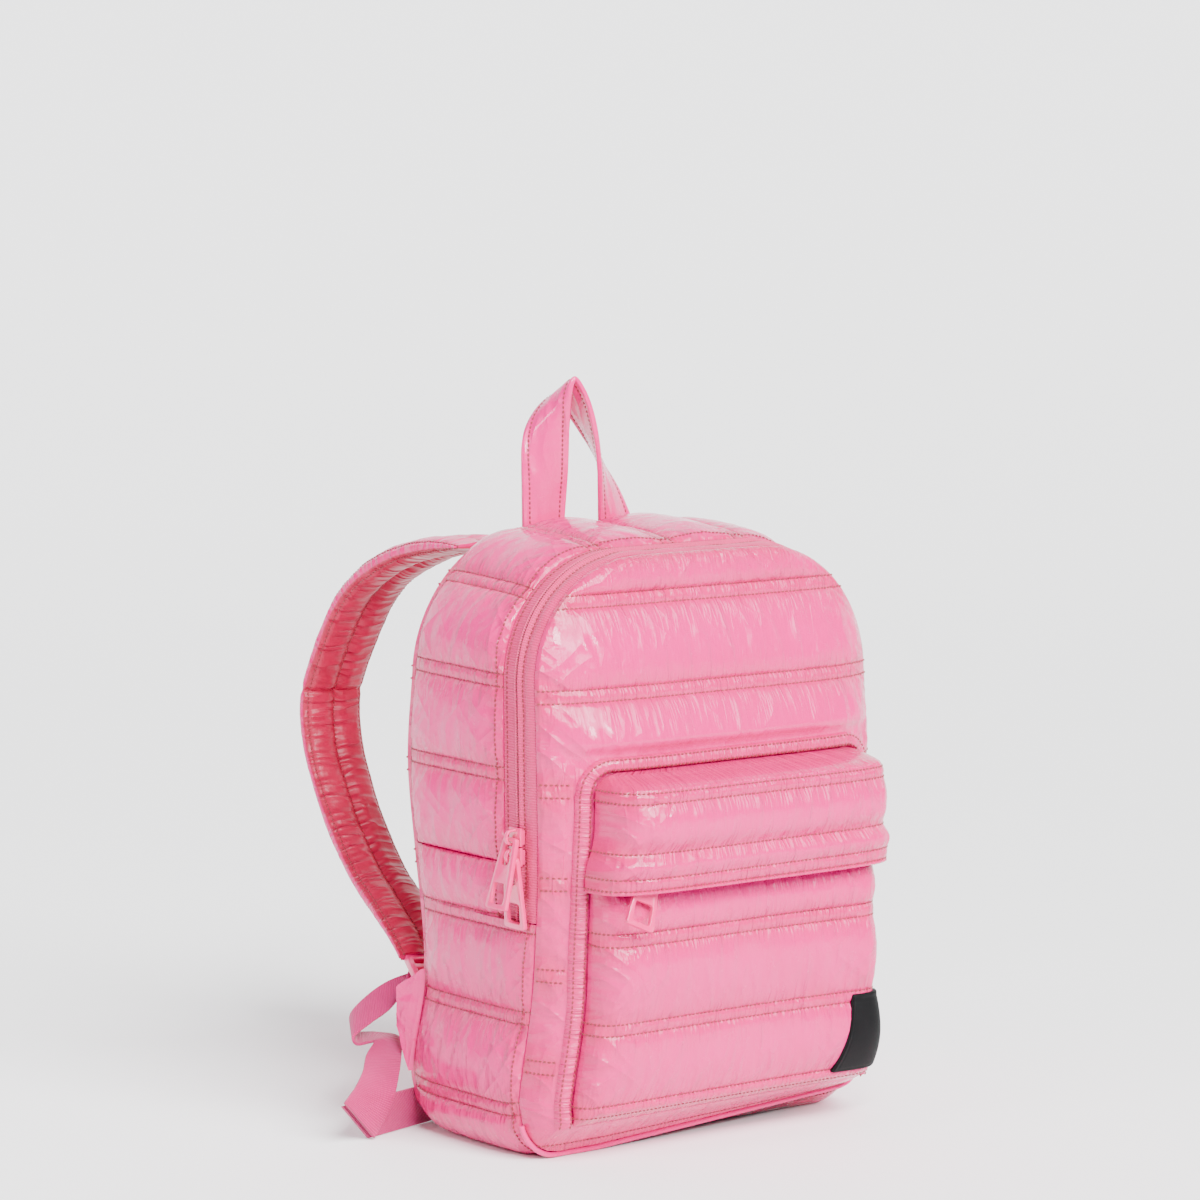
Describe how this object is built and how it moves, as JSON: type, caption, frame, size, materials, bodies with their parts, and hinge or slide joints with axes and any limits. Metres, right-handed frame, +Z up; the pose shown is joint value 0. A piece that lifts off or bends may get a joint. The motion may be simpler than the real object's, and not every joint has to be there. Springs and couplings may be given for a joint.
{
  "type": "mini backpack",
  "caption": "Small upright quilted puffer backpack with an arched two-way zip, a flapped front pocket, a top handle and padded shoulder straps.",
  "frame": {"origin": "centre of the flat underside", "axes": "+Z up, the front with the pocket faces -Y, +X to the right seen from the front"},
  "size_m": [0.3168, 0.2983, 0.3768],
  "materials": {
    "pink_fabric": "glossy padded nylon",
    "strap_fabric": "glossy padded nylon, in shade",
    "webbing": "ribbed webbing",
    "zip_fabric": "woven zip tape",
    "pink_lacquer": "smooth pink lacquer",
    "black_rubber": "matte black"
  },
  "bodies": {
    "bag": {"front_panel": "pink_fabric", "back_panel": "pink_fabric", "gusset_upper": "pink_fabric", "gusset_lower": "pink_fabric", "zip_tape": "zip_fabric", "zip_coil": "zip_fabric", "front_pocket": "pink_fabric", "pocket_zip_tape": "zip_fabric", "pocket_flap": "pink_fabric", "pocket_frame": "pink_fabric", "bottom_binding": "pink_fabric", "label_patch": "black_rubber", "handle": "pink_fabric", "shoulder_strap_left": "strap_fabric", "ladder_lock_left": "pink_lacquer", "wing_left": "pink_fabric", "anchor_webbing_left": "webbing", "tail_webbing_left": "webbing", "tail_end_left": "webbing", "shoulder_strap_right": "strap_fabric", "ladder_lock_right": "pink_lacquer", "wing_right": "pink_fabric", "anchor_webbing_right": "webbing", "tail_webbing_right": "webbing", "tail_end_right": "webbing", "zip_slider_upper": "pink_lacquer", "zip_slider_lower": "pink_lacquer", "pocket_slider": "pink_lacquer"},
    "puller_upper": {"puller_upper": "pink_lacquer"},
    "puller_lower": {"puller_lower": "pink_lacquer"},
    "puller_pocket": {"puller_pocket": "pink_lacquer"}
  },
  "joints": [
    {"name": "upper_puller_lift", "type": "hinge", "parent": "bag", "child": "puller_upper", "pos_m": [-0.10925, -0.03926, 0.15916], "axis": [0, 1, 0.0016], "range_deg": [0, 120]},
    {"name": "lower_puller_lift", "type": "hinge", "parent": "bag", "child": "puller_lower", "pos_m": [-0.10908, -0.03914, 0.14958], "axis": [-0.0004, 0.9998, 0.0201], "range_deg": [0, 18]},
    {"name": "pocket_puller_swing", "type": "hinge", "parent": "bag", "child": "puller_pocket", "pos_m": [-0.06227, -0.08889, 0.14785], "axis": [0, -0.9613, 0.2756], "range_deg": [0, 35]}
  ]
}
